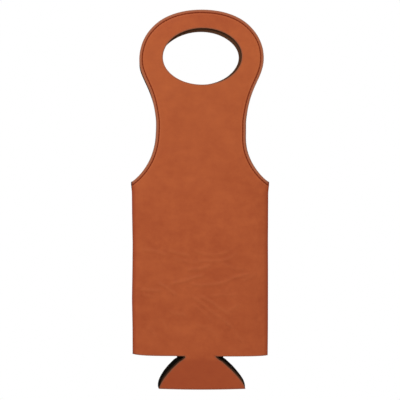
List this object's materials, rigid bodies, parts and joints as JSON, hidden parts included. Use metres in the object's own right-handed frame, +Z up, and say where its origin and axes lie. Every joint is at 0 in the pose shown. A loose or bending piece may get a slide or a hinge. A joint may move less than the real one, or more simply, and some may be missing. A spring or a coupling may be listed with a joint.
{
  "type": "bottle carrier",
  "caption": "Flat-folding leatherette bottle carrier with black foam lining, oval hand holes in its handle loops, sewn sides and a base that unfolds so the sides open for a bottle.",
  "frame": {"origin": "middle of the upper rim of the hand hole, in the plane between front and back, where a hand or hook carries the weight", "axes": "+X to the right as seen from the front, +Y from front to back, +Z up towards the top of the handle"},
  "size_m": [0.1382, 0.0074, 0.3791],
  "materials": {
    "leatherette": "satin",
    "foam_lining": "matte",
    "thread": "satin"
  },
  "bodies": {
    "front_handle": {"front_handle_skin": "leatherette", "front_handle_lining": "foam_lining", "front_handle_topstitch": "thread"},
    "front_panel": {"front_panel_skin": "leatherette", "front_panel_lining": "foam_lining", "front_panel_topstitch": "thread"},
    "front_left_side": {"front_left_side_skin": "leatherette", "front_left_side_lining": "foam_lining", "front_left_side_topstitch": "thread"},
    "front_right_side": {"front_right_side_skin": "leatherette", "front_right_side_lining": "foam_lining", "front_right_side_topstitch": "thread"},
    "base_front": {"base_front_skin": "leatherette", "base_front_lining": "foam_lining"},
    "back_handle": {"back_handle_skin": "leatherette", "back_handle_lining": "foam_lining", "back_handle_topstitch": "thread"},
    "back_panel": {"back_panel_skin": "leatherette", "back_panel_lining": "foam_lining", "back_panel_topstitch": "thread"},
    "back_left_side": {"back_left_side_skin": "leatherette", "back_left_side_lining": "foam_lining", "back_left_side_topstitch": "thread", "left_side_seam": "thread", "left_shoulder_tack": "thread"},
    "back_right_side": {"back_right_side_skin": "leatherette", "back_right_side_lining": "foam_lining", "back_right_side_topstitch": "thread", "right_side_seam": "thread", "right_shoulder_tack": "thread"},
    "base_back": {"base_back_skin": "leatherette", "base_back_lining": "foam_lining"}
  },
  "joints": [
    {"name": "back_left_fold", "type": "hinge", "parent": "back_panel", "child": "back_left_side", "pos_m": [-0.0298, 0.0003, -0.3233], "axis": [-0.1087, 0, 0.9941], "range_deg": [0, 72.5]},
    {"name": "left_seam", "type": "hinge", "parent": "back_left_side", "child": "front_left_side", "pos_m": [-0.068, 0, -0.3233], "axis": [0, 0, -1], "range_deg": [-4, 147.9]},
    {"name": "front_left_fold", "type": "hinge", "parent": "front_left_side", "child": "front_panel", "pos_m": [-0.0298, -0.0003, -0.3233], "axis": [-0.1087, 0, 0.9941], "range_deg": [-4, 76.5]},
    {"name": "back_right_fold", "type": "hinge", "parent": "back_panel", "child": "back_right_side", "pos_m": [0.0298, 0.0003, -0.3233], "axis": [-0.1087, 0, -0.9941], "range_deg": [-4, 76.06]},
    {"name": "front_right_fold", "type": "hinge", "parent": "front_panel", "child": "front_right_side", "pos_m": [0.0298, -0.0003, -0.3233], "axis": [0.1087, 0, 0.9941], "range_deg": [-4, 76.06]},
    {"name": "back_base_hinge", "type": "hinge", "parent": "back_panel", "child": "base_back", "pos_m": [0, 0.0003, -0.3233], "axis": [-1, 0, 0], "range_deg": [-4, 84.48]},
    {"name": "front_base_hinge", "type": "hinge", "parent": "front_panel", "child": "base_front", "pos_m": [0, -0.0003, -0.3233], "axis": [1, 0, 0], "range_deg": [-4, 84.48]},
    {"name": "front_handle_bend", "type": "hinge", "parent": "front_panel", "child": "front_handle", "pos_m": [0, -0.0037, -0.1053], "axis": [1, 0, 0], "range_deg": [0, 50], "stiffness_Nm_per_rad": 0.06},
    {"name": "back_handle_bend", "type": "hinge", "parent": "back_panel", "child": "back_handle", "pos_m": [0, 0.0037, -0.1053], "axis": [-1, 0, 0], "range_deg": [0, 50], "stiffness_Nm_per_rad": 0.06}
  ],
  "couplings": [
    {"joint": "left_seam", "follows": "back_left_fold", "ratio": 1.9848},
    {"joint": "front_left_fold", "follows": "back_left_fold", "ratio": 1},
    {"joint": "back_right_fold", "follows": "back_left_fold", "ratio": 0.994},
    {"joint": "front_right_fold", "follows": "back_left_fold", "ratio": 0.994},
    {"joint": "back_base_hinge", "follows": "back_left_fold", "ratio": 1.11},
    {"joint": "front_base_hinge", "follows": "back_left_fold", "ratio": 1.11}
  ]
}
